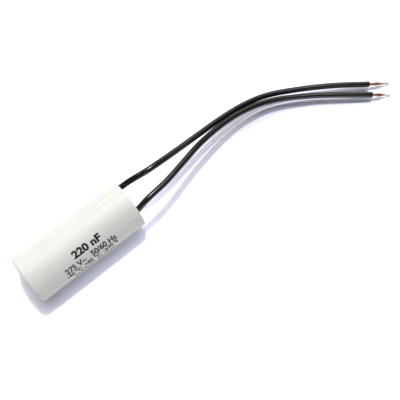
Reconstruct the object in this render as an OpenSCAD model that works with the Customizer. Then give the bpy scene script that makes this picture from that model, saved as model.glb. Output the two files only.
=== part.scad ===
// Tubular interference-suppression capacitor: a moulded cup holds a flattened
// film winding in cast resin, and two stranded leads come out of its open end.
// It lies on its side. X runs along the case from its closed end to its open
// end, Z is up, and the origin is under the middle of the case, on the surface.

/* [Case] */
// Outside diameter of the moulded cup
case_d = 18; // [17:0.5:30]
// Length of the cup, from its closed end to its rim
case_l = 42; // [38:1:80]
// Thickness of the cup's side wall
case_wall = 1; // [0.6:0.1:1.2]
// Thickness of the cup's closed end
case_floor = 1.2; // [0.8:0.1:2.5]
// Radius of the outer edge round the closed end
end_round = 0.9; // [0.3:0.1:1.5]
// Radius of the inner corner at the closed end
floor_fillet = 0.6; // [0.2:0.1:1]
// Rounding of the rim at the open end
rim_round = 0.3; // [0.1:0.05:0.4]
// Diameter of the moulding gate's dimple in the closed end
gate_d = 3; // [2:0.5:5]
// Depth of the gate's dimple
gate_depth = 0.3; // [0.1:0.05:0.5]

/* [Resin] */
// Depth of the resin's flat surface below the rim
resin_recess = 1; // [0.5:0.1:3]
// Height that the resin creeps up the wall and the leads
meniscus_h = 0.5; // [0.1:0.1:0.5]
// Width of the curve where the resin creeps up
meniscus_w = 0.9; // [0.3:0.1:1]

/* [Winding] */
// Length of the film roll, without its sprayed ends
winding_l = 25; // [15:0.5:26]
// Width of the flattened roll
winding_w = 12.4; // [10:0.2:12.8]
// Thickness of the flattened roll
winding_t = 7.8; // [6:0.2:8]
// Thickness of the wrap round the roll
wrap_t = 0.3; // [0.1:0.05:0.4]
// Thickness of the sprayed metal on each end of the roll
spray_t = 0.6; // [0.3:0.1:1]
// Resin between the cup's closed end and the nearer sprayed end
winding_gap = 3.6; // [3.4:0.1:4.5]
// Distance of the roll's middle plane below the case's axis
winding_drop = 1.8; // [1.6:0.1:2]

/* [Leads] */
// Outside diameter of a lead's insulation
lead_d = 2.2; // [1.6:0.1:2.2]
// Diameter of the stranded conductor
wire_d = 1.1; // [0.6:0.05:1.2]
// Distance between the two leads where they leave the resin
lead_pitch = 10; // [8:0.5:10.4]
// Height of the leads above the case's axis where they leave the resin
lead_rise = 3.8; // [3.6:0.1:4]
// Bare wire between a soldered end's bend and the start of the insulation
bare_l = 0.5; // [0.2:0.1:1.5]
// Inner bend radius of a conductor's soldered end
wire_bend = 0.7; // [0.5:0.1:1]
// Height of the solder joints
solder_h = 1.5; // [1.2:0.1:1.6]
// Radius of the solder joints on the sprayed metal
solder_r = 1.9; // [1.5:0.1:2]
// Solder between a wire and the sprayed metal
solder_film = 0.15; // [0.1:0.05:0.3]
// Diameter of a tinned tip at its end
tip_d = 0.5; // [0.3:0.05:0.6]

/* [Hidden] */
$fn = 96;

white_plastic = "#f2f3ee";
cast_resin = "#d9d4c3";
film = "#b9bdc0";
wrap_tape = "#e8d9a0";
sprayed_zinc = "#8d9092";
solder = "#b4b6b8";
black_pvc = "#1b1b1d";
copper = "#b8693c";

case_r = case_d / 2;
bore_r = case_r - case_wall;
mouth = case_l / 2;                       // x of the rim
inner_floor = -mouth + case_floor;        // x of the cup's inside end
resin_face = mouth - resin_recess;        // x of the resin's flat surface
winding_z = case_r - winding_drop;        // height of the roll's middle plane
lead_z = case_r + lead_rise;              // height of the leads at the resin

spray_closed_x = inner_floor + winding_gap;   // outer faces of the sprayed ends
winding_x = spray_closed_x + spray_t;
spray_open_x = winding_x + winding_l + spray_t;

lead_r = lead_d / 2;
wire_r = wire_d / 2;
elbow_r = wire_bend + wire_r;             // bend radius of the wire's centre
lead_gap = bore_r - norm([lead_pitch / 2, lead_rise]) - lead_r;   // resin between a lead and the cup
collar_w = lead_gap * 0.8;                // width of the resin's collar round a lead

// Each lead is [side, way its soldered end faces, x of the sprayed face].
// Lead 1 is soldered to the near end of the roll. Lead 2 runs over the roll's
// flat side to the far end.
LEAD_1 = [1, 1, spray_open_x];
LEAD_2 = [-1, -1, spray_closed_x];

// x of the wire's centre where it lies on the sprayed face
function wire_x(lead) = lead[2] + lead[1] * (wire_r + solder_film);
// x where a lead's insulation starts in the resin
function strip_x(lead) = wire_x(lead) + elbow_r + bare_l;

SIDES = 8;                                // sides of a lead's tube
SPAN_RINGS = 2;                           // rings in each span of a route
BEND_STEPS = 3;                           // rings in the bend of a soldered end
FIRST_INSULATED = BEND_STEPS + 2;         // a path's first insulated point
lead_run = 5;                             // straight run that sets a lead's first bend

// Routes from the rim to the tip: [distance from the rim, side, height]
ROUTE_1 = [[4.4, 4, 15.2], [11, 2.4, 17.6], [21, 2.8, 15.4], [33, 4.1, 11.2],
           [45, 5, 8], [56, 4.8, 5.7], [66, 2.7, 4.3], [77, -2.6, 3.5],
           [88, -9.3, 3.1], [99.6, -17.4, 2.3], [104.9, -20.5, 1],
           [107, -21.6, 0.3]];
ROUTE_2 = [[5, -4.6, 14.6], [14, -3.4, 13.9], [23.5, -1.1, 12.7], [33.5, 1.2, 11.2],
           [46, 2.7, 8.4], [57, 2.2, 5.9], [67, -0.7, 4.4], [78.5, -7.3, 3.4],
           [89, -15, 2.9], [97.4, -21.4, 2.3], [101.6, -24.1, 1.1],
           [103.6, -25.4, 0.3]];
TIP_SPANS = 1;                            // spans of a route that are tinned
BARE_SPANS = 2;                           // spans of a route without insulation

function unit(v) = v / norm(v);

// Point at t in the span from b to c of a curve through a, b, c and d
function span_point(a, b, c, d, t) =
    ((2 * b) + (c - a) * t + (2 * a - 5 * b + 4 * c - d) * t * t
     + (3 * b - a - 3 * c + d) * t * t * t) / 2;

// Points along a smooth curve through points 1 and on, that sets off along the
// line from point 0 to point 1
function smooth(p) = let (m = len(p) - 1) concat(
    [for (i = [1 : m - 1], k = [0 : SPAN_RINGS - 1])
        span_point(p[i - 1], p[i], p[i + 1], p[min(i + 2, m)], k / SPAN_RINGS)],
    [p[m]]);

// Soldered end of a wire: up the sprayed face, then round a bend onto the case's axis
function soldered_end(lead) = let (x = wire_x(lead), y = lead[0] * lead_pitch / 2) concat(
    [[x, y, winding_z - wire_d]],
    [for (i = [0 : BEND_STEPS]) let (a = 90 * i / BEND_STEPS)
        [x + elbow_r * (1 - cos(a)), y, lead_z - elbow_r * (1 - sin(a))]]);

// Path of a lead: its soldered end, straight through the resin to the rim, then its route
function lead_path(lead, route) =
    let (y = lead[0] * lead_pitch / 2) concat(
        soldered_end(lead),
        [[strip_x(lead), y, lead_z]],
        smooth(concat([[mouth - lead_run, y, lead_z], [mouth, y, lead_z]],
                      [for (p = route) [mouth + p[0], p[1], p[2]]])));

// Direction of a path at its point i
function heading(p, i) = unit(p[min(i + 1, len(p) - 1)] - p[max(i - 1, 0)]);

// Ring of corners round point i of a path
function ring(p, i, r) =
    let (t = heading(p, i), u = unit([0, 1, 0] - t[1] * t), v = cross(t, u))
    [for (k = [0 : SIDES - 1]) p[i] + r * (cos(360 * k / SIDES) * u + sin(360 * k / SIDES) * v)];

// Faces between the rings of one skin, with its corners numbered from base
function skin_faces(base, n) = [for (i = [0 : n - 2], k = [0 : SIDES - 1])
    let (a = base + i * SIDES, b = (k + 1) % SIDES)
    each [[a + k, a + b, a + SIDES + b], [a + k, a + SIDES + b, a + SIDES + k]]];

function flip(faces) = [for (f = faces) [for (i = [len(f) - 1 : -1 : 0]) f[i]]];

// Solid rod along points first to last of a path, with one radius for each ring
module rod(p, first, last, radii) {
    n = last - first + 1;
    corners = [for (i = [first : last]) each ring(p, i, radii[i - first])];
    polyhedron(corners, flip(concat(skin_faces(0, n),
        [[for (k = [SIDES - 1 : -1 : 0]) k], [for (k = [0 : SIDES - 1]) (n - 1) * SIDES + k]])));
}

// Tube along points first to last of a path
module tube(p, first, last, outer, inner) {
    n = last - first + 1;
    corners = concat([for (i = [first : last]) each ring(p, i, outer)],
                     [for (i = [first : last]) each ring(p, i, inner)]);
    hole = n * SIDES;
    ends = [for (e = [0, n - 1], k = [0 : SIDES - 1])
        let (a = e * SIDES + k, b = e * SIDES + (k + 1) % SIDES,
             quad = [[a, b, hole + b], [a, hole + b, hole + a]])
        each (e == 0 ? flip(quad) : quad)];
    polyhedron(corners, flip(concat(skin_faces(0, n), flip(skin_faces(hole, n)), ends)));
}

// Turns a shape drawn along Z onto the case's axis, with z = 0 at x
module along_case(x) {
    translate([x, 0, case_r]) rotate([0, 90, 0]) children();
}

// Outline of the flattened roll, grown by extra: two round sides and two flats
module roll_outline(extra) {
    r = winding_t / 2 + extra;
    flat = winding_w - winding_t;
    square([flat, 2 * r], center = true);
    for (s = [-1, 1]) translate([s * flat / 2, 0]) circle(r);
}

// Slice of the flattened roll's outline, from x for a length
module roll_slice(x, length, extra = 0) {
    translate([x, 0, winding_z]) rotate([90, 0, 90])
        linear_extrude(length) roll_outline(extra);
}

// Room for the round wire from the sprayed face to inside the lead's insulation
module wire_room(lead) {
    x = wire_x(lead);
    translate([0, lead[0] * lead_pitch / 2, 0]) {
        translate([x, 0, winding_z - wire_d])
            cylinder(h = lead_z - elbow_r - winding_z + wire_d, r = wire_r);
        translate([x + elbow_r, 0, lead_z - elbow_r]) rotate([90, 0, 0])
            rotate([0, 0, 90]) rotate_extrude(angle = 90) translate([elbow_r, 0]) circle(wire_r);
        translate([x + elbow_r, 0, lead_z]) rotate([0, 90, 0])
            cylinder(h = strip_x(lead) + lead_d - x - elbow_r, r = wire_r);
    }
}

// Dome of solder on a sprayed face, round the wire's end, with a root that goes into the spray
module solder_dome(lead, root = 0) {
    dome_r = (solder_r * solder_r + solder_h * solder_h) / (2 * solder_h);
    translate([lead[2], lead[0] * lead_pitch / 2, winding_z]) rotate([0, lead[1] * 90, 0])
        rotate_extrude() {
            intersection() {
                translate([0, solder_h - dome_r]) circle(dome_r);
                square([solder_r, solder_h]);
            }
            if (root > 0) translate([0, -root]) square([solder_r / 2, root]);
        }
}

// Resin that creeps up a lead in a small collar, with its foot down in the fill
module lead_collar(side) {
    foot = lead_r + collar_w;
    translate([resin_face, side * lead_pitch / 2, lead_z]) rotate([0, 90, 0]) rotate_extrude()
        polygon([[0, -meniscus_h], [foot, -meniscus_h], [foot, 0],
                 [lead_r + collar_w / 4, meniscus_h], [0, meniscus_h]]);
}

// Half of the section that fills the cup's bore, from its inside end for a height
module bore_half(height) {
    translate([0, floor_fillet]) square([bore_r, height - floor_fillet]);
    square([bore_r - floor_fillet, height]);
    translate([bore_r - floor_fillet, floor_fillet]) circle(floor_fillet);
}

module case() {
    color(white_plastic) along_case(-mouth) rotate_extrude() difference() {
        union() {
            translate([0, end_round]) square([case_r, case_l - end_round - rim_round]);
            square([case_r - end_round, case_l]);
            translate([case_r - end_round, end_round]) circle(end_round);
            translate([case_r - rim_round, case_l - rim_round]) circle(rim_round);
            square([case_r - rim_round, case_l]);
        }
        translate([0, case_floor]) bore_half(case_l);
        square([gate_d / 2, gate_depth]);
        translate([-case_r, -1]) square([case_r, case_l + 2]);
    }
}

module resin_fill() {
    depth = resin_face - inner_floor;
    color(cast_resin) difference() {
        union() {
            along_case(inner_floor) rotate_extrude() {
                bore_half(depth);
                polygon([[bore_r - meniscus_w, depth], [bore_r - meniscus_w, depth - 1],
                         [bore_r, depth - 1], [bore_r, depth + meniscus_h],
                         [bore_r - meniscus_w / 3, depth + meniscus_h / 3]]);
            }
            for (side = [-1, 1]) lead_collar(side);
        }
        roll_slice(spray_closed_x, winding_l + 2 * spray_t, wrap_t);
        for (lead = [LEAD_1, LEAD_2]) {
            wire_room(lead);
            solder_dome(lead, spray_t / 2);
            translate([strip_x(lead), lead[0] * lead_pitch / 2, lead_z]) rotate([0, 90, 0])
                cylinder(h = case_l, r = lead_r);
        }
    }
}

module film_winding() {
    color(film) roll_slice(winding_x, winding_l);
}

module winding_wrap() {
    color(wrap_tape) difference() {
        roll_slice(spray_closed_x, winding_l + 2 * spray_t, wrap_t);
        roll_slice(spray_closed_x - 1, winding_l + 2 * spray_t + 2);
    }
}

module end_spray_closed() {
    color(sprayed_zinc) roll_slice(spray_closed_x, spray_t);
}

module end_spray_open() {
    color(sprayed_zinc) roll_slice(spray_open_x - spray_t, spray_t);
}

module solder_joint(lead) {
    color(solder) difference() {
        solder_dome(lead);
        wire_room(lead);
    }
}

module solder_joint_1() {
    solder_joint(LEAD_1);
}

module solder_joint_2() {
    solder_joint(LEAD_2);
}

// Number of a path's last insulated point
function last_insulated(p) = len(p) - 1 - BARE_SPANS * SPAN_RINGS;
// Number of a path's first tinned point
function first_tinned(p) = len(p) - 1 - TIP_SPANS * SPAN_RINGS;

module lead_insulation(lead, route) {
    p = lead_path(lead, route);
    color(black_pvc) tube(p, FIRST_INSULATED, last_insulated(p), lead_r, wire_r);
}

module lead_conductor(lead, route) {
    p = lead_path(lead, route);
    color(copper) rod(p, 0, first_tinned(p), [for (i = [0 : first_tinned(p)]) wire_r]);
}

module lead_tinned_tip(lead, route) {
    p = lead_path(lead, route);
    n = len(p) - 1 - first_tinned(p);
    color(solder) rod(p, first_tinned(p), len(p) - 1,
        [for (i = [0 : n]) wire_r + (tip_d / 2 - wire_r) * i / n]);
}

module lead_1_insulation() { lead_insulation(LEAD_1, ROUTE_1); }
module lead_1_conductor() { lead_conductor(LEAD_1, ROUTE_1); }
module lead_1_tinned_tip() { lead_tinned_tip(LEAD_1, ROUTE_1); }
module lead_2_insulation() { lead_insulation(LEAD_2, ROUTE_2); }
module lead_2_conductor() { lead_conductor(LEAD_2, ROUTE_2); }
module lead_2_tinned_tip() { lead_tinned_tip(LEAD_2, ROUTE_2); }

case();
resin_fill();
film_winding();
winding_wrap();
end_spray_closed();
end_spray_open();
solder_joint_1();
solder_joint_2();
lead_1_insulation();
lead_1_conductor();
lead_1_tinned_tip();
lead_2_insulation();
lead_2_conductor();
lead_2_tinned_tip();
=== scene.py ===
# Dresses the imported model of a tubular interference-suppression capacitor with
# smooth surfaces and finishes, and sets it on a pale table under soft light.
from collections import namedtuple

import bmesh
import bpy
import numpy as np
from bpy.props import FloatProperty, FloatVectorProperty, PointerProperty, StringProperty
from bpy.types import Operator, Panel, PropertyGroup
from mathutils import Matrix, Vector


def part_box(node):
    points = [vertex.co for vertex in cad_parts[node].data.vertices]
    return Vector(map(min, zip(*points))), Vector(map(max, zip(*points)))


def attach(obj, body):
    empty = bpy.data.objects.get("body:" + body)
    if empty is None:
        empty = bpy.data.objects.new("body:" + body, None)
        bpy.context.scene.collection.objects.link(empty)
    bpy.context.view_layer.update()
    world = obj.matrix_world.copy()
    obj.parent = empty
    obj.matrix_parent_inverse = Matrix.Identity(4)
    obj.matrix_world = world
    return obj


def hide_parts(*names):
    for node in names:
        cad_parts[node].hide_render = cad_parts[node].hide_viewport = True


bl_info = {
    "name": "Tubular capacitor",
    "version": (1, 0, 0),
    "blender": (4, 5, 0),
    "location": "View3D > Sidebar > Capacitor",
    "description": "Makes the cup, resin, print, leads and table of a tubular capacitor",
    "category": "Add Mesh",
}

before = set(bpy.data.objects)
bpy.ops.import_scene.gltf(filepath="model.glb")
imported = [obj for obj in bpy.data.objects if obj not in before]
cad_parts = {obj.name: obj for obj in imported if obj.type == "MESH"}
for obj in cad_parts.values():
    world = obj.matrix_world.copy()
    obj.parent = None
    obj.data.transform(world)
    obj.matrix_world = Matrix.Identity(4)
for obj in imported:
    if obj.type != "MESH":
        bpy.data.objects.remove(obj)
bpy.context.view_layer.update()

MM = 0.001
CUP_LO, CUP_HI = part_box("case")
RESIN_LO, RESIN_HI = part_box("resin_fill")
AXIS_Z = (CUP_LO.z + CUP_HI.z) / 2          # height of the cup's axis
MOUTH = CUP_HI.x                            # x of the cup's rim

# Where each lead sets off from the resin, and its route: distance from the rim,
# side and height of each point, in metres.
LEAD_SIDE = {1: 0.005, 2: -0.005}
LEAD_RISE = 0.0038                          # height above the cup's axis at the resin
LEAD_Z = AXIS_Z + LEAD_RISE
ROUTES = {
    1: [(0.0044, 0.004, 0.0152), (0.011, 0.0024, 0.0176), (0.021, 0.0028, 0.0154),
        (0.033, 0.0041, 0.0112), (0.045, 0.005, 0.008), (0.056, 0.0048, 0.0057),
        (0.066, 0.0027, 0.0043), (0.077, -0.0026, 0.0035), (0.088, -0.0093, 0.0031),
        (0.0996, -0.0174, 0.0023), (0.1049, -0.0205, 0.001), (0.107, -0.0216, 0.0003)],
    2: [(0.005, -0.0046, 0.0146), (0.014, -0.0034, 0.0139), (0.0235, -0.0011, 0.0127),
        (0.0335, 0.0012, 0.0112), (0.046, 0.0027, 0.0084), (0.057, 0.0022, 0.0059),
        (0.067, -0.0007, 0.0044), (0.0785, -0.0073, 0.0034), (0.089, -0.015, 0.0029),
        (0.0974, -0.0214, 0.0023), (0.1016, -0.0241, 0.0011), (0.1036, -0.0254, 0.0003)],
}
LEAD_RUN = 0.005                            # straight run up to the rim, which sets the first bend
SPAN = 12                                   # samples in each span of a route
CORD_POINTS = 38                            # points of a path along each lead's shown length, worked out but not used
SUNK = 0.0015                               # depth in the resin where a lead's surface starts
SUNK_STEP = 0.0005                          # distance between its samples, from there to the rim
SUNK_SAMPLES = 5                            # how many there are
RING_STEP = 0.0008                          # distance between the rings of the insulation
CUT_BORE = 0.004                            # depth of the insulation's bore at its cut end
BORE_WIDTH = 1.02                           # its radius, as a share of the wire's
CUT, TINNED = -3, -2                        # a route's points where insulation and bare copper end

# Sides of what is turned or carried along a lead
CUP_SIDES = 256
SLEEVE_SIDES = 40
STRAND_SIDES = 8
TIP_SIDES = 24

# Form of the bare ends
STRAND_RINGS = [(2, 0.1), (8, 0.27), (14, 0.45)]    # strands in each ring, and its radius in mm
SWELL = [(0, 0.86), (0.12, 0.95), (0.45, 1.27), (0.7, 1.0), (1, 0.42)]  # bundle's width, cut to tin
STRAND_THINS = [(0, 1), (0.7, 1), (1, 0.75)]        # strand's width, from the cut to the tin
STRANDS_IN_BORE, STRANDS_IN_TIN = 0.003, 0.0006     # how far they go on behind the cut and the tin
STRAY = 0.1                                 # how much strands stray, as a standard deviation
STRAY_TURN, STRAY_OUT = 1.5, 0.6            # for a stray of 1, radians round and share outwards
STRAND_SEED = 7
STRAND_SHIFT = 0.003                        # shift of the pattern from one strand to the next
TIP_OVERLAP = 0.0004                        # how far the tin comes up the strands
TIP_RADII = [(0, 0.2), (0.15, 0.27), (0.5, 0.24), (0.9, 0.2)]   # in mm, along a tinned tip
TIP_ROUNDS = 0.9                            # share of a tip where its end starts to round
TIP_RIDGES, RIDGE_HEIGHT = 6, 0.07          # ridges, and their height as a share of the radius

# Resin
WALL_GAP, FLOOR_GAP = 0.004 * MM, 0.01 * MM     # gaps that keep it just clear of the cup
RESIN_WAVE = 0.015 * MM                     # height of the wave in its surface
WAVE_Y, WAVE_Z = 1.1 * MM, 1.7 * MM         # way along y and z in which the wave turns 1 radian
LEAD_CREEP = 0.8                            # creep up a lead, as a share of the creep up the wall

# Print
LINE_FOOT = -0.02                           # height on the page where a line's figures stand
STRIPS = 15                                 # strips that a line is cut into, so that it can bend

# Camera
CAMERA_PLACE = (-0.00224, -0.06669, 0.20827)
CAMERA_LOOK = (0.2028, 0.2481, -0.9473)
CAMERA_RIGHT = (0.7743, -0.6329, 0.0)
LENS, SENSOR = 55.27, 36                    # in mm
NEAREST = 0.005                             # nearest distance that the camera sees

# Table and room
TABLE_HALF = 1.2                            # half the table's side
BRIGHTENER = (1.56, 1.6, 1.94)              # how much whiter the table looks than it lights, by colour
WALLS_END, CEILING_STARTS = 0.02, 0.3       # heights on a unit sphere, in what a gloss shows
WHITE = (1.0, 1.0, 1.0)
LAMP_AWAY = 0.5                             # distance of a lamp's object, which its light doesn't depend on

Lead = namedtuple("Lead", "points along way marks")


# ---------------------------------------------------------------- sizes and colours


def colour(code):
    """An sRGB hex value as linear red, green and blue."""
    c = np.array([int(code[i:i + 2], 16) / 255 for i in (1, 3, 5)])
    return tuple(float(x) for x in np.where(c <= 0.04045, c / 12.92, ((c + 0.055) / 1.055) ** 2.4))


def length(name, default, description):
    """A property for a length in metres."""
    return FloatProperty(name=name, description=description, default=float(default),
                         min=0.0, precision=5, unit="LENGTH", subtype="DISTANCE")


def paint(name, code, description):
    """A property for a colour."""
    return FloatVectorProperty(name=name, description=description, default=colour(code),
                               min=0.0, max=1.0, size=3, subtype="COLOR")


def lamp(name, default, description):
    """A property for the irradiance that a lamp gives, in watts a square metre."""
    return FloatProperty(name=name, description=f"Irradiance from the {description}",
                         default=default, min=0.0)


class CupSettings(PropertyGroup):
    radius: length("Radius", (CUP_HI.z - CUP_LO.z) / 2, "Outside radius of the cup")
    wall: length("Wall", 1.0 * MM, "Thickness of the cup's side wall")
    floor: length("Floor", RESIN_LO.x - CUP_LO.x, "Thickness of the cup's closed end")
    end_round: length("End rounding", 0.9 * MM, "Radius of the edge round the closed end")
    rim_round: length("Rim rounding", 0.3 * MM, "Rounding of the rim")
    inner_round: length("Inner corner", 0.6 * MM, "Radius of the corner inside the closed end")
    gate_radius: length("Gate radius", 1.5 * MM, "Radius of the gate's dimple")
    gate_depth: length("Gate depth", 0.3 * MM, "Depth of the gate's dimple")
    white: paint("White", "#f7f7f4", "Colour of the moulded cup")


class ResinSettings(PropertyGroup):
    recess: length("Recess", 1.0 * MM, "Depth of the resin's surface below the rim")
    creep: length("Creep", 0.5 * MM, "Height that the resin creeps up the wall and the leads")
    creep_width: length("Creep width", 0.3 * MM, "Distance in which the creep falls to a third")
    cream: paint("Cream", "#d9d4c3", "Colour of the cast resin")


class LeadSettings(PropertyGroup):
    radius: length("Radius", 1.1 * MM, "Outside radius of a lead's insulation")
    wire_radius: length("Wire radius", 0.55 * MM, "Radius of the bundle of strands")
    strand_radius: length("Strand radius", 0.1 * MM, "Radius of one strand")
    lay: length("Lay", 13 * MM, "Length in which the strands turn once round the bundle")
    cut_round: length("Cut rounding", 0.16 * MM, "Rounding of the insulation's cut edge")
    black: paint("Black", "#0c0e08", "Colour of the insulation")
    copper: paint("Copper", "#c2957a", "Colour of the bare strands")
    tin: paint("Tin", "#b5b5b2", "Colour of the tinned ends")


class PrintSettings(PropertyGroup):
    line_1: StringProperty(name="Line 1", description="Large line of figures", default="220 nF")
    line_2: StringProperty(name="Line 2", description="Second line", default="275 V~   50/60 Hz")
    line_3: StringProperty(name="Line 3", description="Third line", default="-40 °C  +85 °C   ±20 %")
    line_4: StringProperty(name="Line 4", description="Small line", default="2 x 0.75 mm²   2 x 110 mm")
    thickness: length("Thickness", 0.027 * MM, "Thickness of the ink, half of it sunk in the cup")
    ink: paint("Ink", "#0e0e0d", "Colour of the ink")


class StageSettings(PropertyGroup):
    key: lamp("Key light", 0.97, "small overhead lamp")
    wide: lamp("Wide light", 0.58, "wide lamp close by the small one")
    side: lamp("Side light", 0.96, "wide lamp on the +Y side")
    fill: lamp("Fill light", 0.3, "low lamp on the -Y side")
    window: lamp("Window light", 0.7, "wide lamp beyond the leads")
    bulb: lamp("Bulb light", 0.3, "warm lamp beyond the closed end")
    around: FloatProperty(name="Room light", description="Strength of the light from all round",
                          default=0.03, min=0.0)
    ceiling: FloatProperty(name="Ceiling", default=0.08, min=0.0, max=1.0,
                           description="Brightness of the ceiling in a gloss, where the walls are 1")
    table: paint("Table", "#f6f6f5", "Colour of the table top")
    daylight: paint("Window colour", "#eaf4f0", "Colour of the window light")
    lamplight: paint("Side colour", "#fffffe", "Colour of the side light")
    bulb_glow: paint("Bulb colour", "#ffe6b8", "Colour of the warm lamp")


# ------------------------------------------------------------------- shapes


def skin(name, rings, start, end, lay=None):
    """Mesh object whose surface joins ring after ring, each a closed loop of
    points, with a fan to the start point and one to the end point. lay is one
    vector for each ring's point, kept for the finish to read."""
    rings = np.asarray(rings, float)
    n, k = rings.shape[:2]
    a = np.arange((n - 1) * k).reshape(n - 1, k)
    b = np.roll(a, -1, axis=1)
    faces = np.stack([a, b, b + k, a + k], axis=-1).reshape(-1, 4).tolist()
    first, last = np.arange(k), np.arange((n - 1) * k, n * k)
    faces += np.stack([np.full(k, n * k), np.roll(first, -1), first], axis=1).tolist()
    faces += np.stack([np.full(k, n * k + 1), last, np.roll(last, -1)], axis=1).tolist()
    return solid(name, np.vstack([rings.reshape(-1, 3), start, end]), faces, lay)


def solid(name, points, faces, lay=None):
    """Smooth mesh object from points and faces, at the origin."""
    mesh = bpy.data.meshes.new(name)
    mesh.from_pydata(np.asarray(points).tolist(), [], faces)
    mesh.shade_smooth()
    if lay is not None:
        values = np.zeros((len(mesh.vertices), 3))
        values[:len(lay)] = lay
        mesh.attributes.new("lay", "FLOAT_VECTOR", "POINT").data.foreach_set(
            "vector", values.ravel())
    mesh.update()
    piece = bpy.data.objects.new(name, mesh)
    bpy.context.collection.objects.link(piece)
    return piece


def arc(cx, cr, radius, start, stop, steps):
    """Points on an arc, from one angle to another in degrees, in the plane of x and
    distance from the axis."""
    a = np.radians(np.linspace(start, stop, steps))
    return np.stack([cx + radius * np.cos(a), cr + radius * np.sin(a)], axis=1)


def level(x0, r0, x1, r1, steps):
    """Points on a straight line in the plane of x and distance from the axis."""
    return np.linspace([x0, r0], [x1, r1], steps)


def turned(profile, sides):
    """A profile of (x, distance from the axis) turned once round the cup's axis:
    each point goes to y = -r sin a and z = axis + r cos a."""
    a = np.linspace(0, 2 * np.pi, sides, endpoint=False)
    x, r = profile[:, :1], profile[:, 1:]
    return np.stack([x + 0 * a, -r * np.sin(a), AXIS_Z + r * np.cos(a)], axis=-1)


def lead_line(number):
    """Centre line of a lead, from the resin to its tip: between two points b and c
    of the route it is the cubic through them whose slope at each is half the step
    between its neighbours. Returns its points, the length along it and its way at
    each, and the marks, which are the lengths at the rim and at its route's points."""
    y = LEAD_SIDE[number]
    p = np.array([(MOUTH - LEAD_RUN, y, LEAD_Z), (MOUTH, y, LEAD_Z)]
                 + [(MOUTH + x, side, z) for x, side, z in ROUTES[number]])
    m = len(p) - 1
    i = np.arange(1, m)
    a, b, c, d = (q[:, None, :] for q in (p[i - 1], p[i], p[i + 1], p[np.minimum(i + 2, m)]))
    t = (np.arange(SPAN) / SPAN)[None, :, None]
    curve = (2 * b + (c - a) * t + (2 * a - 5 * b + 4 * c - d) * t ** 2
             + (3 * b - a - 3 * c + d) * t ** 3) / 2
    bottom = MOUTH - bpy.context.scene.cap_resin.recess - SUNK
    resin = np.array([[bottom + SUNK_STEP * j, y, LEAD_Z] for j in range(SUNK_SAMPLES)])
    line = np.vstack([resin, curve.reshape(-1, 3), p[m:]])
    along = np.concatenate([[0], np.cumsum(np.linalg.norm(np.diff(line, axis=0), axis=1))])
    way = np.gradient(line, along, axis=0)
    marks = along[len(resin)::SPAN]
    return Lead(line, along, way / np.linalg.norm(way, axis=1, keepdims=True), marks)


def at(lead, s):
    """Centre, side direction and upward direction of a lead's line at the lengths s."""
    s = np.asarray(s, float)
    centre = np.stack([np.interp(s, lead.along, axis) for axis in lead.points.T], axis=-1)
    t = np.stack([np.interp(s, lead.along, axis) for axis in lead.way.T], axis=-1)
    t /= np.linalg.norm(t, axis=-1, keepdims=True)
    u = np.array([0, 1, 0]) - t * t[..., 1:2]
    u /= np.linalg.norm(u, axis=-1, keepdims=True)
    return centre, u, np.cross(t, u)


def carried(lead, s, r, sides):
    """A profile of radii r at the lengths s, carried along a lead's line: each ring
    is centre + r (cos a side + sin a up). Returns the rings and, for the finish,
    the same points with the lead laid straight."""
    a = np.linspace(0, 2 * np.pi, sides, endpoint=False)
    centre, u, v = (q[:, None, :] for q in at(lead, s))
    r = np.asarray(r, float).reshape(len(s), -1, 1)
    cos, sin = np.cos(a)[None, :, None], np.sin(a)[None, :, None]
    rings = centre + r * (cos * u + sin * v)
    flat = np.concatenate([r * cos + 0 * sin, r * sin, np.asarray(s)[:, None, None] + 0 * cos],
                          axis=-1)
    return rings, flat.reshape(-1, 3)


# ------------------------------------------------------------------- finishes


def node(tree, kind, inputs=None, **settings):
    """Adds a node of a kind to a tree, with its settings and its inputs: a socket
    is linked, and anything else is the input's own value."""
    made = tree.nodes.new(kind)
    for name, value in settings.items():
        setattr(made, name, value)
    for name, value in (inputs or {}).items():
        if isinstance(value, bpy.types.NodeSocket):
            tree.links.new(value, made.inputs[name])
        else:
            made.inputs[name].default_value = value
    return made


def new_finish(name):
    """A new material with an empty node tree."""
    made = bpy.data.materials.new(name)
    made.use_nodes = True
    made.node_tree.nodes.clear()
    return made, made.node_tree


def close(tree, shader, roughness=None, base=None, bump=None):
    """Links a shader's varying inputs, and the shader to the output."""
    for name, socket in (("Roughness", roughness), ("Base Color", base), ("Normal", bump)):
        if socket is not None:
            tree.links.new(socket, shader.inputs[name])
    node(tree, "ShaderNodeOutputMaterial", {"Surface": shader.outputs[0]})


def rgba(c, gain=1.0):
    """A colour with alpha, made lighter or darker by a gain."""
    return (*(min(1.0, x * gain) for x in c), 1.0)


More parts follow.
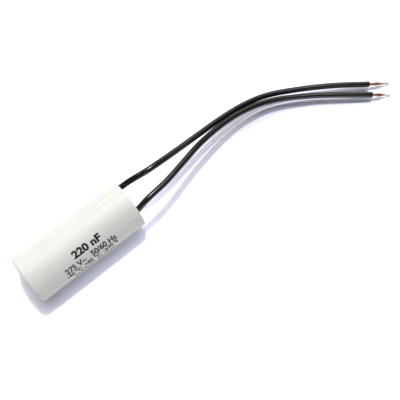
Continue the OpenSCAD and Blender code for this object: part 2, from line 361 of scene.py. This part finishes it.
def moulded_white_pbt(c):
    """Injection-moulded PBT, white and satin: a fine sparked texture from the mould
    spreads its highlights, long faint sink waves bend them, and the white is a
    little uneven over some millimetres. Lighter and darker streaks along the draw
    are painted sheen, standing in for faint highlight streaks on the wall."""
    made, tree = new_finish("moulded_white_pbt")
    place = node(tree, "ShaderNodeTexCoord").outputs["Object"]
    cloud = node(tree, "ShaderNodeTexNoise", {"Vector": place, "Scale": 1 / (5 * MM), "Detail": 3.0})
    # Painted sheen: streaks along the draw, lighter and darker in the white, stand in for faint highlight
    # streaks on the satin wall.
    drawn = node(tree, "ShaderNodeMapping", {"Vector": place, "Scale": (0.04, 1, 1)})
    painted_streaks = node(tree, "ShaderNodeTexNoise", {"Vector": drawn.outputs["Vector"],
                                             "Scale": 1 / (0.9 * MM), "Detail": 3.0})
    tone_and_sheen = node(tree, "ShaderNodeMath", {0: cloud.outputs["Fac"], 1: painted_streaks.outputs["Fac"]},
                operation="MULTIPLY")
    # The ramp lightens and darkens the white by the random tone and the painted streaks together.
    base = node(tree, "ShaderNodeValToRGB", {"Fac": tone_and_sheen.outputs[0]})
    low, high = base.color_ramp.elements
    low.position, high.position = 0.15, 0.36
    low.color, high.color = rgba(c, 0.965), rgba(c, 1.02)
    # The mould's grain is about 0.05 mm; it is drawn at 0.15 mm so that it shows.
    grain = node(tree, "ShaderNodeTexNoise", {"Vector": place, "Scale": 1 / (0.15 * MM), "Detail": 2.0})
    rough = node(tree, "ShaderNodeMapRange", {"Value": grain.outputs["Fac"], "To Min": 0.42, "To Max": 0.54})
    stretch = node(tree, "ShaderNodeMapping", {"Vector": place, "Scale": (0.25, 1, 1)})
    waves = node(tree, "ShaderNodeTexNoise", {"Vector": stretch.outputs["Vector"],
                                              "Scale": 1 / (4 * MM), "Detail": 1.0})
    sinks = node(tree, "ShaderNodeBump", {"Height": waves.outputs["Fac"], "Distance": 0.05 * MM,
                                          "Strength": 0.35})
    bump = node(tree, "ShaderNodeBump", {"Height": grain.outputs["Fac"], "Distance": 0.004 * MM,
                                         "Strength": 0.5, "Normal": sinks.outputs["Normal"]})
    shader = node(tree, "ShaderNodeBsdfPrincipled", {"IOR": 1.57})
    close(tree, shader, rough.outputs["Result"], base.outputs["Color"], bump.outputs["Normal"])
    return made


def cast_resin(c):
    """Two-part polyurethane casting resin, poured and left to set: glossy, cream,
    cloudy over millimetres, with a few pin-sized bubbles near its surface."""
    made, tree = new_finish("cast_polyurethane_resin")
    place = node(tree, "ShaderNodeTexCoord").outputs["Object"]
    cloud = node(tree, "ShaderNodeTexNoise", {"Vector": place, "Scale": 1 / (2.5 * MM), "Detail": 4.0})
    base = node(tree, "ShaderNodeValToRGB", {"Fac": cloud.outputs["Fac"]})
    low, high = base.color_ramp.elements
    low.position, high.position = 0.3, 0.7
    low.color, high.color = rgba(c, 0.86), rgba(c, 1.05)
    rough = node(tree, "ShaderNodeMapRange", {"Value": cloud.outputs["Fac"], "To Min": 0.12, "To Max": 0.24})
    pins = node(tree, "ShaderNodeTexVoronoi", {"Vector": place, "Scale": 1 / (0.9 * MM)})
    dips = node(tree, "ShaderNodeMapRange", {"Value": pins.outputs["Distance"], "From Min": 0.1,
                                             "From Max": 0.18})
    bump = node(tree, "ShaderNodeBump", {"Height": dips.outputs["Result"], "Distance": 0.05 * MM,
                                         "Strength": 0.6})
    shader = node(tree, "ShaderNodeBsdfPrincipled", {"IOR": 1.5, "Subsurface Weight": 0.15,
                                                     "Subsurface Scale": 0.6 * MM})
    close(tree, shader, rough.outputs["Result"], base.outputs["Color"], bump.outputs["Normal"])
    return made


def printed_ink(c):
    """Pad-printed ink: nearly black and matt, a little greyer where it is thin."""
    made, tree = new_finish("pad_printed_ink")
    place = node(tree, "ShaderNodeTexCoord").outputs["Object"]
    thin = node(tree, "ShaderNodeTexNoise", {"Vector": place, "Scale": 1 / (0.35 * MM), "Detail": 3.0})
    base = node(tree, "ShaderNodeValToRGB", {"Fac": thin.outputs["Fac"]})
    low, high = base.color_ramp.elements
    low.position, high.position = 0.4, 0.8
    low.color, high.color = rgba(c), rgba(c, 3.0)
    rough = node(tree, "ShaderNodeMapRange", {"Value": thin.outputs["Fac"], "To Min": 0.45, "To Max": 0.65})
    shader = node(tree, "ShaderNodeBsdfPrincipled", {"IOR": 1.5})
    close(tree, shader, rough.outputs["Result"], base.outputs["Color"])
    return made


def black_pvc(c):
    """Extruded soft PVC: black with a wet gloss, faint lines along it from the
    die, and a slow unevenness that breaks the highlight."""
    made, tree = new_finish("extruded_black_pvc")
    lay = node(tree, "ShaderNodeAttribute", attribute_name="lay").outputs["Vector"]
    drawn = node(tree, "ShaderNodeMapping", {"Vector": lay, "Scale": (1, 1, 0.04)})
    # The die's lines are about 0.05 mm wide; they are drawn at 0.2 mm so that they show.
    lines = node(tree, "ShaderNodeTexNoise", {"Vector": drawn.outputs["Vector"],
                                              "Scale": 1 / (0.2 * MM), "Detail": 2.0})
    slow = node(tree, "ShaderNodeTexNoise", {"Vector": lay, "Scale": 1 / (3 * MM), "Detail": 2.0})
    base = node(tree, "ShaderNodeValToRGB", {"Fac": slow.outputs["Fac"]})
    low, high = base.color_ramp.elements
    low.color, high.color = rgba(c, 0.8), rgba(c, 1.3)
    rough = node(tree, "ShaderNodeMapRange", {"Value": lines.outputs["Fac"], "To Min": 0.18, "To Max": 0.27})
    bump = node(tree, "ShaderNodeBump", {"Height": lines.outputs["Fac"], "Distance": 0.01 * MM,
                                         "Strength": 0.4})
    shader = node(tree, "ShaderNodeBsdfPrincipled", {"IOR": 1.53})
    close(tree, shader, rough.outputs["Result"], base.outputs["Color"], bump.outputs["Normal"])
    return made


def bare_copper(c):
    """Drawn copper strands, bare: pale and bright, with browner patches where the
    air has reached them, and draw lines along each strand."""
    made, tree = new_finish("drawn_copper_strands")
    lay = node(tree, "ShaderNodeAttribute", attribute_name="lay").outputs["Vector"]
    patches = node(tree, "ShaderNodeTexNoise", {"Vector": lay, "Scale": 1 / (1.2 * MM), "Detail": 3.0})
    base = node(tree, "ShaderNodeValToRGB", {"Fac": patches.outputs["Fac"]})
    low, high = base.color_ramp.elements
    low.position, high.position = 0.3, 0.65
    low.color, high.color = rgba(c, 0.6), rgba(c, 1.1)
    drawn = node(tree, "ShaderNodeMapping", {"Vector": lay, "Scale": (1, 1, 0.05)})
    lines = node(tree, "ShaderNodeTexNoise", {"Vector": drawn.outputs["Vector"],
                                              "Scale": 1 / (0.04 * MM), "Detail": 1.0})
    rough = node(tree, "ShaderNodeMapRange", {"Value": lines.outputs["Fac"], "To Min": 0.25, "To Max": 0.45})
    shader = node(tree, "ShaderNodeBsdfPrincipled", {"Metallic": 1.0})
    close(tree, shader, rough.outputs["Result"], base.outputs["Color"])
    return made


def dipped_tin(c):
    """Tin run into the strands by dipping: grey and bright, with shallow lumps
    and a duller skin in patches."""
    made, tree = new_finish("dipped_tin")
    place = node(tree, "ShaderNodeTexCoord").outputs["Object"]
    lumps = node(tree, "ShaderNodeTexNoise", {"Vector": place, "Scale": 1 / (0.4 * MM), "Detail": 2.0})
    base = node(tree, "ShaderNodeValToRGB", {"Fac": lumps.outputs["Fac"]})
    low, high = base.color_ramp.elements
    low.color, high.color = rgba(c, 0.75), rgba(c, 1.1)
    rough = node(tree, "ShaderNodeMapRange", {"Value": lumps.outputs["Fac"], "To Min": 0.22, "To Max": 0.45})
    bump = node(tree, "ShaderNodeBump", {"Height": lumps.outputs["Fac"], "Distance": 0.03 * MM,
                                         "Strength": 0.6})
    shader = node(tree, "ShaderNodeBsdfPrincipled", {"Metallic": 1.0})
    close(tree, shader, rough.outputs["Result"], base.outputs["Color"], bump.outputs["Normal"])
    return made


def metallised_film():
    """Flattened roll of metallised polypropylene film: the silvery vacuum-coated
    zinc under clear film, with a fine line for each turn."""
    made, tree = new_finish("metallised_polypropylene_film")
    place = node(tree, "ShaderNodeTexCoord").outputs["Object"]
    # The film is about 0.006 mm thick; its turns are drawn 0.1 mm apart.
    turns = node(tree, "ShaderNodeTexWave", {"Vector": place, "Scale": 1 / (0.6 * MM), "Distortion": 1.5},
                 bands_direction="Z")
    base = node(tree, "ShaderNodeValToRGB", {"Fac": turns.outputs["Fac"]})
    low, high = base.color_ramp.elements
    low.color, high.color = rgba(colour("#a9adb0")), rgba(colour("#c6c9ca"))
    rough = node(tree, "ShaderNodeMapRange", {"Value": turns.outputs["Fac"], "To Min": 0.2, "To Max": 0.34})
    shader = node(tree, "ShaderNodeBsdfPrincipled", {"Metallic": 1.0})
    close(tree, shader, rough.outputs["Result"], base.outputs["Color"])
    return made


def wrap_film():
    """Polyester film wrapped round the roll: yellowish, smooth, slightly creased."""
    made, tree = new_finish("polyester_wrap_film")
    place = node(tree, "ShaderNodeTexCoord").outputs["Object"]
    creases = node(tree, "ShaderNodeTexNoise", {"Vector": place, "Scale": 1 / (3 * MM), "Detail": 5.0})
    base = node(tree, "ShaderNodeValToRGB", {"Fac": creases.outputs["Fac"]})
    low, high = base.color_ramp.elements
    low.color, high.color = rgba(colour("#d9c98c")), rgba(colour("#ecdfae"))
    bump = node(tree, "ShaderNodeBump", {"Height": creases.outputs["Fac"], "Distance": 0.1 * MM,
                                         "Strength": 0.4})
    shader = node(tree, "ShaderNodeBsdfPrincipled", {"IOR": 1.57, "Roughness": 0.2})
    close(tree, shader, None, base.outputs["Color"], bump.outputs["Normal"])
    return made


def sprayed_zinc():
    """Zinc sprayed molten on to the roll's ends: dull grey, grainy at 0.15 mm."""
    made, tree = new_finish("flame_sprayed_zinc")
    place = node(tree, "ShaderNodeTexCoord").outputs["Object"]
    grains = node(tree, "ShaderNodeTexVoronoi", {"Vector": place, "Scale": 1 / (0.15 * MM)})
    base = node(tree, "ShaderNodeValToRGB", {"Fac": grains.outputs["Distance"]})
    low, high = base.color_ramp.elements
    low.color, high.color = rgba(colour("#9c9fa1")), rgba(colour("#6f7274"))
    bump = node(tree, "ShaderNodeBump", {"Height": grains.outputs["Distance"], "Distance": 0.08 * MM},
                invert=True)
    shader = node(tree, "ShaderNodeBsdfPrincipled", {"Metallic": 1.0, "Roughness": 0.62})
    close(tree, shader, None, base.outputs["Color"], bump.outputs["Normal"])
    return made


def shown_rays(tree):
    """1 for rays from the camera, from a gloss or through glass, and 0 for light."""
    rays = node(tree, "ShaderNodeLightPath")
    first = node(tree, "ShaderNodeMath", {0: rays.outputs["Is Camera Ray"],
                                          1: rays.outputs["Is Glossy Ray"]}, operation="MAXIMUM")
    return node(tree, "ShaderNodeMath", {0: first.outputs[0], 1: rays.outputs["Is Transmission Ray"]},
                operation="MAXIMUM").outputs[0]


def table_top(c):
    """Matt white laminate: even, with a faint mottle. To the eye it is whiter than
    the light it throws back, and bluish in the shade, as brightened paper is."""
    made, tree = new_finish("matt_white_laminate")
    place = node(tree, "ShaderNodeTexCoord").outputs["Object"]
    mottle = node(tree, "ShaderNodeTexNoise", {"Vector": place, "Scale": 1 / (8 * MM), "Detail": 2.0})
    base = node(tree, "ShaderNodeValToRGB", {"Fac": mottle.outputs["Fac"]})
    low, high = base.color_ramp.elements
    low.color, high.color = rgba(c, 0.99), rgba(c, 1.01)
    matt = node(tree, "ShaderNodeBsdfDiffuse", {"Color": base.outputs["Color"]})
    bright = node(tree, "ShaderNodeVectorMath", {0: base.outputs["Color"], 1: BRIGHTENER},
                  operation="MULTIPLY")
    shown = node(tree, "ShaderNodeBsdfDiffuse", {"Color": bright.outputs["Vector"]})
    both = node(tree, "ShaderNodeMixShader", {0: shown_rays(tree), 1: matt.outputs[0],
                                              2: shown.outputs[0]})
    node(tree, "ShaderNodeOutputMaterial", {"Surface": both.outputs[0]})
    return made


def wear(piece, finish):
    """Gives a piece its finish."""
    piece.data.materials.clear()
    piece.data.materials.append(finish)


# ------------------------------------------------------------------- pieces


class CAP_OT_camera(Operator):
    """Camera that looks steeply down on the part, from its -Y side"""
    bl_idname = "object.cap_camera"
    bl_label = "Camera"

    def execute(self, context):
        look = Vector(CAMERA_LOOK).normalized()
        right = Vector(CAMERA_RIGHT).normalized()
        turn = Matrix((right, right.cross(look), -look)).transposed().to_4x4()
        data = bpy.data.cameras.new("camera")
        data.lens = LENS
        data.sensor_width = SENSOR
        data.clip_start = NEAREST
        camera = bpy.data.objects.new("camera", data)
        camera.matrix_world = Matrix.Translation(CAMERA_PLACE) @ turn
        context.collection.objects.link(camera)
        context.scene.camera = camera
        return {"FINISHED"}


class CAP_OT_sleeves(Operator):
    """Insulation of the two leads: a circle carried along each lead's line, out
    of the resin to a clean cut with a rounded edge, and back along the wire"""
    bl_idname = "object.cap_sleeves"
    bl_label = "Lead insulation"

    def execute(self, context):
        s = context.scene.cap_leads
        for number in ROUTES:
            lead = lead_line(number)
            stop = lead.marks[CUT]
            quarter = np.radians(np.linspace(0, 90, 6))
            run = np.arange(0, stop - s.cut_round, RING_STEP)
            back = stop - np.array([0.0, 0.5, 1.0]) * CUT_BORE
            at_s = np.concatenate([run, stop - s.cut_round * (1 - np.sin(quarter)), back])
            radii = np.concatenate([np.full(len(run), s.radius),
                                    s.radius - s.cut_round * (1 - np.cos(quarter)),
                                    np.full(len(back), s.wire_radius * BORE_WIDTH)])
            rings, lay = carried(lead, at_s, radii, SLEEVE_SIDES)
            ends = at(lead, at_s[[0, -1]])[0]
            piece = skin(f"lead_{number}_sleeve", rings, ends[0], ends[1], lay)
            wear(piece, FINISH["pvc"])
            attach(piece, "root")
            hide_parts(f"lead_{number}_insulation")
        return {"FINISHED"}


class CAP_OT_strands(Operator):
    """Bare copper of the two leads: twenty-four strands in three rings, each a
    circle carried along a helix round the lead's line. The bundle swells past the
    cut, then closes towards the tinned end"""
    bl_idname = "object.cap_strands"
    bl_label = "Copper strands"

    def execute(self, context):
        s = context.scene.cap_leads
        rng = np.random.default_rng(STRAND_SEED)
        counts, ring_radii = zip(*STRAND_RINGS)
        ring_r = np.repeat(ring_radii, counts) * MM
        ring_a = np.concatenate([np.arange(k) * 2 * np.pi / k for k in counts])
        a = np.linspace(0, 2 * np.pi, STRAND_SIDES, endpoint=False)
        cos, sin = np.cos(a)[:, None], np.sin(a)[:, None]
        for number in ROUTES:
            lead = lead_line(number)
            cut, tinned = lead.marks[CUT], lead.marks[TINNED]
            at_s = np.linspace(cut - STRANDS_IN_BORE, tinned + STRANDS_IN_TIN, 60)
            f = np.clip((at_s - cut) / (tinned - cut), 0, 1)
            swell = np.interp(f, *zip(*SWELL))
            centre, u, v = (q[None] for q in at(lead, at_s))
            stray = rng.normal(0, STRAY, (len(ring_r), 1)) * np.sin(np.pi * f)
            turn = ring_a[:, None] + 2 * np.pi * at_s / s.lay + stray * STRAY_TURN
            out = (ring_r[:, None] * swell * (1 + stray * STRAY_OUT))[..., None]
            middle = centre + out * (np.cos(turn)[..., None] * u + np.sin(turn)[..., None] * v)
            r = s.strand_radius * np.interp(f, *zip(*STRAND_THINS))[None, :, None, None]
            rings = middle[:, :, None] + r * (cos * u[:, :, None] + sin * v[:, :, None])
            grid = np.arange(rings[..., 0].size).reshape(rings.shape[:3])
            q = grid[:, :-1]
            w = np.roll(q, -1, axis=2)
            faces = np.stack([q, w, w + STRAND_SIDES, q + STRAND_SIDES], axis=-1).reshape(-1, 4).tolist()
            faces += grid[:, 0, ::-1].tolist() + grid[:, -1].tolist()
            # Each strand has its own stretch of the finish's pattern.
            lay = np.stack(np.broadcast_arrays(
                r[..., 0] * np.cos(a) + STRAND_SHIFT * np.arange(len(ring_r))[:, None, None],
                r[..., 0] * np.sin(a), at_s[None, :, None]), axis=-1).reshape(-1, 3)
            piece = solid(f"lead_{number}_strands", rings.reshape(-1, 3), faces, lay)
            wear(piece, FINISH["copper"])
            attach(piece, "root")
            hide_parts(f"lead_{number}_conductor")
        return {"FINISHED"}


class CAP_OT_tips(Operator):
    """Tinned tips of the two leads: a circle with six low ridges from the strands,
    carried along the lead's line and narrowing to a rounded end"""
    bl_idname = "object.cap_tips"
    bl_label = "Tinned tips"

    def execute(self, context):
        s = context.scene.cap_leads
        for number in ROUTES:
            lead = lead_line(number)
            start, stop = lead.marks[TINNED] - TIP_OVERLAP, lead.along[-1]
            # The rings lie closer together towards the rounded end.
            f = 1 - (1 - np.linspace(0, 1, 40)) ** 1.5
            at_s = start + (stop - start) * f
            rounding = np.clip((f - TIP_ROUNDS) / (1 - TIP_ROUNDS), 0, 1)
            r = np.interp(f, *zip(*TIP_RADII)) * MM * np.sqrt(np.clip(1 - rounding ** 2, 0.02, 1))
            a = np.linspace(0, 2 * np.pi, TIP_SIDES, endpoint=False)
            twist = 2 * np.pi * at_s[:, None] / s.lay
            ridges = 1 + RIDGE_HEIGHT * np.cos(TIP_RIDGES * (a[None, :] - twist))
            rings, lay = carried(lead, at_s, r[:, None] * ridges, TIP_SIDES)
            ends = at(lead, at_s[[0, -1]])[0]
            piece = skin(f"lead_{number}_tip", rings, ends[0], ends[1], lay)
            wear(piece, FINISH["tin"])
            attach(piece, "root")
            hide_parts(f"lead_{number}_tinned_tip")
            shown = (lead.along >= SUNK - 1e-9) & (lead.along <= lead.marks[CUT] + 1e-9)
            path = lead.points[shown]
            path = path[np.unique(np.round(np.linspace(0, len(path) - 1, CORD_POINTS)).astype(int))]
        return {"FINISHED"}


class CAP_OT_cup(Operator):
    """Moulded cup: its section, from the gate's dimple over the rounded end, along
    the wall, over the rim and down the bore to the inner floor, turned round the
    axis"""
    bl_idname = "object.cap_cup"
    bl_label = "Cup"

    def execute(self, context):
        s = context.scene.cap_cup
        outer, bore, gate = s.radius, s.radius - s.wall, s.gate_radius
        back, inner = CUP_LO.x, CUP_LO.x + s.floor
        dimple = back + s.gate_depth
        edge, rim, corner = s.end_round, s.rim_round, s.inner_round
        soft = 0.08 * MM                    # rounding of the dimple's edge
        profile = np.vstack([
            [[dimple, gate * k / 6] for k in range(1, 6)],
            arc(dimple - soft, gate - soft, soft, 0, 90, 4),
            arc(back + soft, gate + soft, soft, 270, 180, 5),
            level(back, gate + 3 * soft, back, outer - edge - soft, 16),
            arc(back + edge, outer - edge, edge, 180, 90, 14),
            level(back + edge, outer, MOUTH - rim, outer, 60)[1:-1],
            arc(MOUTH - rim, outer - rim, rim, 90, 0, 8),
            arc(MOUTH - rim / 2, bore + rim / 2, rim / 2, 0, -90, 6),
            level(MOUTH - rim, bore, inner + corner * 1.2, bore, 20),
            arc(inner + corner, bore - corner, corner, 90, 180, 8),
            [[inner, bore * k] for k in (0.8, 0.5, 0.2)],
        ])
        piece = skin("cup", turned(profile, CUP_SIDES), [dimple, 0, AXIS_Z], [inner, 0, AXIS_Z])
        wear(piece, FINISH["white"])
        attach(piece, "root")
        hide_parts("case")
        return {"FINISHED"}


class CAP_OT_resin(Operator):
    """Cast resin: a disc of rings whose height is the creep up the wall or up a
    lead, whichever is more, each falling off exponentially with distance, plus a
    low wave, and with a straight side and a rounded inner end"""
    bl_idname = "object.cap_resin"
    bl_label = "Resin"

    def execute(self, context):
        s, cup = context.scene.cap_resin, context.scene.cap_cup
        bore = cup.radius - cup.wall - WALL_GAP
        inner, face = RESIN_LO.x + FLOOR_GAP, MOUTH - s.recess
        a = np.linspace(0, 2 * np.pi, CUP_SIDES, endpoint=False)[None, :]
        # The rings lie closer together towards the wall, where the resin creeps up.
        r = (bore * (1 - np.linspace(0.97, 0, 90) ** 1.3))[:, None]
        y, z = -r * np.sin(a), r * np.cos(a)
        height = s.creep * np.exp((r - bore) / s.creep_width) + 0 * a
        for side in LEAD_SIDE.values():
            near = np.hypot(y - side, z - LEAD_RISE) - context.scene.cap_leads.radius
            collar = s.creep * LEAD_CREEP * np.exp(-np.clip(near, 0, None) / s.creep_width)
            height = np.maximum(height, collar)
        height += RESIN_WAVE * np.sin(y / WAVE_Y) * np.cos(z / WAVE_Z)
        height = np.minimum(height, RESIN_HI.x - face)
        top = np.stack([face + height, y, AXIS_Z + z], axis=-1)
        corner = cup.inner_round
        side_profile = np.vstack([
            level(face, bore, inner + corner * 1.2, bore, 12),
            arc(inner + corner, bore - corner, corner, 90, 180, 8),
            [[inner, bore * k] for k in (0.8, 0.5, 0.2)],
        ])
        rings = np.concatenate([top, turned(side_profile, CUP_SIDES)])
        piece = skin("resin", rings, top[0].mean(axis=0), [inner, 0, AXIS_Z])
        piece.data.flip_normals()
        wear(piece, FINISH["resin"])
        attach(piece, "root")
        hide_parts("resin_fill")
        return {"FINISHED"}


def points_of(mesh):
    """A mesh's points as an array."""
    points = np.empty(len(mesh.vertices) * 3)
    mesh.vertices.foreach_get("co", points)
    return points.reshape(-1, 3)


def flat_line(context, text, thickening):
    """A line of figures as a flat mesh, cut across into strips that can bend, and
    the height of its figures."""
    data = bpy.data.curves.new("figures", "FONT")
    data.body = text
    data.extrude = 0.5
    data.offset = thickening
    data.resolution_u = 6
    words = bpy.data.objects.new("figures", data)
    context.collection.objects.link(words)
    shaped = words.evaluated_get(context.evaluated_depsgraph_get())
    strips = bmesh.new()
    strips.from_mesh(shaped.to_mesh())
    heights = points_of(shaped.to_mesh())[:, 1]
    shaped.to_mesh_clear()
    bpy.data.objects.remove(words)
    # The figures' height, without tails below the line and the few highest points
    high = float(np.quantile(heights[heights >= LINE_FOOT], 0.999))
    for cut in np.linspace(heights.min(), high, STRIPS + 1)[1:-1]:
        bmesh.ops.bisect_plane(strips, geom=strips.verts[:] + strips.edges[:] + strips.faces[:],
                               plane_co=(0, float(cut), 0), plane_no=(0, 1, 0))
    bmesh.ops.triangulate(strips, faces=strips.faces[:])
    page = bpy.data.meshes.new("figures")
    strips.to_mesh(page)
    strips.free()
    return page, high


class CAP_OT_print(Operator):
    """Printed figures: each line is set as text, made a mesh, cut into strips and
    wrapped round the cup, so that the way across the page becomes x, the height on
    it an angle and its thickness a distance from the axis"""
    bl_idname = "object.cap_print"
    bl_label = "Print"

    def execute(self, context):
        s, cup = context.scene.cap_print, context.scene.cap_cup
        # Text, thickening of its strokes, x in mm where it starts and ends, and the
        # angles in degrees from the top of the cup where its figures' tops and feet lie
        lines = [
            (s.line_1, 0.045, -4.8, 6.1, 27.5, 44.5),
            (s.line_2, 0.036, -9.7, 10.3, 51.5, 66.5),
            (s.line_3, 0.04, -10.3, 10.0, 68.5, 80.0),
            (s.line_4, 0.03, -7.8, 8.5, 83.0, 92.0),
        ]
        whole = bmesh.new()
        for text, thickening, start, stop, top, foot in lines:
            page, high = flat_line(context, text, thickening)
            across, up, out = points_of(page).T
            left, right = across.min(), across.max()
            x = (start + (stop - start) * (across - left) / (right - left)) * MM
            angle = np.radians(foot + (top - foot) * up / high)
            r = cup.radius + out * s.thickness
            at_cup = np.stack([x, -r * np.sin(angle), AXIS_Z + r * np.cos(angle)], axis=1)
            page.vertices.foreach_set("co", at_cup.ravel())
            page.update()
            whole.from_mesh(page)
            bpy.data.meshes.remove(page)
        mesh = bpy.data.meshes.new("rating_print")
        whole.to_mesh(mesh)
        whole.free()
        piece = bpy.data.objects.new("rating_print", mesh)
        context.collection.objects.link(piece)
        wear(piece, FINISH["ink"])
        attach(piece, "root")
        return {"FINISHED"}


class CAP_OT_inside(Operator):
    """Finishes of the parts inside the resin, which keep their solids"""
    bl_idname = "object.cap_inside"
    bl_label = "Film roll, sprayed ends and solder"

    def execute(self, context):
        worn = {"film_winding": "film", "winding_wrap": "wrap", "end_spray_closed": "zinc",
                "end_spray_open": "zinc", "solder_joint_1": "tin", "solder_joint_2": "tin"}
        for name, finish in worn.items():
            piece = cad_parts[name]
            if not piece.material_slots:
                piece.data.materials.append(None)
            for slot in piece.material_slots:
                slot.material = FINISH[finish]
        return {"FINISHED"}


def pale_room(around, ceiling):
    """World that is white to the camera. In a gloss its walls are white and its
    ceiling is darker, and it lights the scene evenly and faintly."""
    world = bpy.data.worlds.new("pale_room")
    world.use_nodes = True
    tree = world.node_tree
    tree.nodes.clear()
    place = node(tree, "ShaderNodeTexCoord")
    way = node(tree, "ShaderNodeSeparateXYZ", {"Vector": place.outputs["Generated"]})
    walls = node(tree, "ShaderNodeMapRange", {"Value": way.outputs["Z"], "From Min": WALLS_END,
                                              "From Max": CEILING_STARTS, "To Min": 1.0, "To Max": ceiling})
    rays = node(tree, "ShaderNodeLightPath")
    white = node(tree, "ShaderNodeMath", {0: rays.outputs["Is Camera Ray"], 1: walls.outputs["Result"]},
                 operation="MAXIMUM")
    seen = node(tree, "ShaderNodeBackground", {"Color": (*WHITE, 1), "Strength": white.outputs[0]})
    room = node(tree, "ShaderNodeBackground", {"Color": (*WHITE, 1), "Strength": around})
    both = node(tree, "ShaderNodeMixShader", {0: shown_rays(tree), 1: room.outputs[0],
                                              2: seen.outputs[0]})
    node(tree, "ShaderNodeOutputWorld", {"Surface": both.outputs[0]})
    return world


class CAP_OT_stage(Operator):
    """Pale table, six lamps of which the brightest are overhead and on the +Y side,
    and the light of a pale room"""
    bl_idname = "object.cap_stage"
    bl_label = "Table and light"

    def execute(self, context):
        s = context.scene.cap_stage
        corners = [(x * TABLE_HALF, y * TABLE_HALF, 0) for x, y in ((-1, -1), (1, -1), (1, 1), (-1, 1))]
        table = solid("table", corners, [(0, 1, 2, 3)])
        wear(table, FINISH["table"])
        # Name, strength, angle that the lamp fills in radians, the way to it, and its colour
        lamps = [
            ("key_lamp", s.key, 0.05, (0.2443, 0.2513, 1.0), WHITE),
            ("wide_lamp", s.wide, 0.4, (0.26, 0.05, 1.0), WHITE),
            ("side_lamp", s.side, 0.7, (0.22, 0.58, 1.0), s.lamplight),
            ("fill_lamp", s.fill, 0.4, (-0.3, -1.0, 0.22), WHITE),
            ("window_lamp", s.window, 0.6, (0.78, 0.38, 0.5), s.daylight),
            ("bulb_lamp", s.bulb, 0.16, (-0.36, 0.66, 0.66), s.bulb_glow),
        ]
        for name, strength, angle, toward, tint in lamps:
            data = bpy.data.lights.new(name, "SUN")
            data.energy = strength
            data.angle = angle
            data.color = tuple(tint)
            sun = bpy.data.objects.new(name, data)
            toward = Vector(toward).normalized()
            sun.rotation_euler = toward.to_track_quat("Z", "Y").to_euler()
            sun.location = toward * LAMP_AWAY
            context.collection.objects.link(sun)
        context.scene.world = pale_room(s.around, s.ceiling)
        return {"FINISHED"}


class CAP_PT_panel(Panel):
    """The capacitor's pieces, in the order they are made"""
    bl_idname = "CAP_PT_panel"
    bl_label = "Tubular capacitor"
    bl_space_type = "VIEW_3D"
    bl_region_type = "UI"
    bl_category = "Capacitor"

    def draw(self, context):
        for operator in OPERATORS:
            self.layout.operator(operator.bl_idname)
        for name in GROUPS:
            box = self.layout.box()
            group = getattr(context.scene, name)
            for field in group.bl_rna.properties:
                if field.identifier not in ("rna_type", "name"):
                    box.prop(group, field.identifier)


GROUPS = {"cap_cup": CupSettings, "cap_resin": ResinSettings, "cap_leads": LeadSettings,
          "cap_print": PrintSettings, "cap_stage": StageSettings}
OPERATORS = [CAP_OT_camera, CAP_OT_sleeves, CAP_OT_strands, CAP_OT_tips, CAP_OT_cup,
             CAP_OT_resin, CAP_OT_print, CAP_OT_inside, CAP_OT_stage]
FINISH = {}


def make_finishes(scene):
    """Every finish, in its colour from the settings."""
    FINISH.update(
        white=moulded_white_pbt(scene.cap_cup.white), resin=cast_resin(scene.cap_resin.cream),
        ink=printed_ink(scene.cap_print.ink), pvc=black_pvc(scene.cap_leads.black),
        copper=bare_copper(scene.cap_leads.copper), tin=dipped_tin(scene.cap_leads.tin),
        film=metallised_film(), wrap=wrap_film(), zinc=sprayed_zinc(),
        table=table_top(scene.cap_stage.table))


def register():
    """Makes the settings, the operators and the panel known to Blender."""
    for group in GROUPS.values():
        bpy.utils.register_class(group)
    for name, group in GROUPS.items():
        setattr(bpy.types.Scene, name, PointerProperty(type=group))
    for operator in OPERATORS + [CAP_PT_panel]:
        bpy.utils.register_class(operator)


def unregister():
    """Takes them away again."""
    for operator in reversed(OPERATORS + [CAP_PT_panel]):
        bpy.utils.unregister_class(operator)
    for name, group in GROUPS.items():
        delattr(bpy.types.Scene, name)
        bpy.utils.unregister_class(group)


def main():
    """Makes every finish and every piece."""
    register()
    scene = bpy.context.scene
    scene.view_settings.view_transform = "Standard"
    make_finishes(scene)
    for operator in OPERATORS:
        group, name = operator.bl_idname.split(".")
        getattr(getattr(bpy.ops, group), name)()


if __name__ == "__main__":
    main()
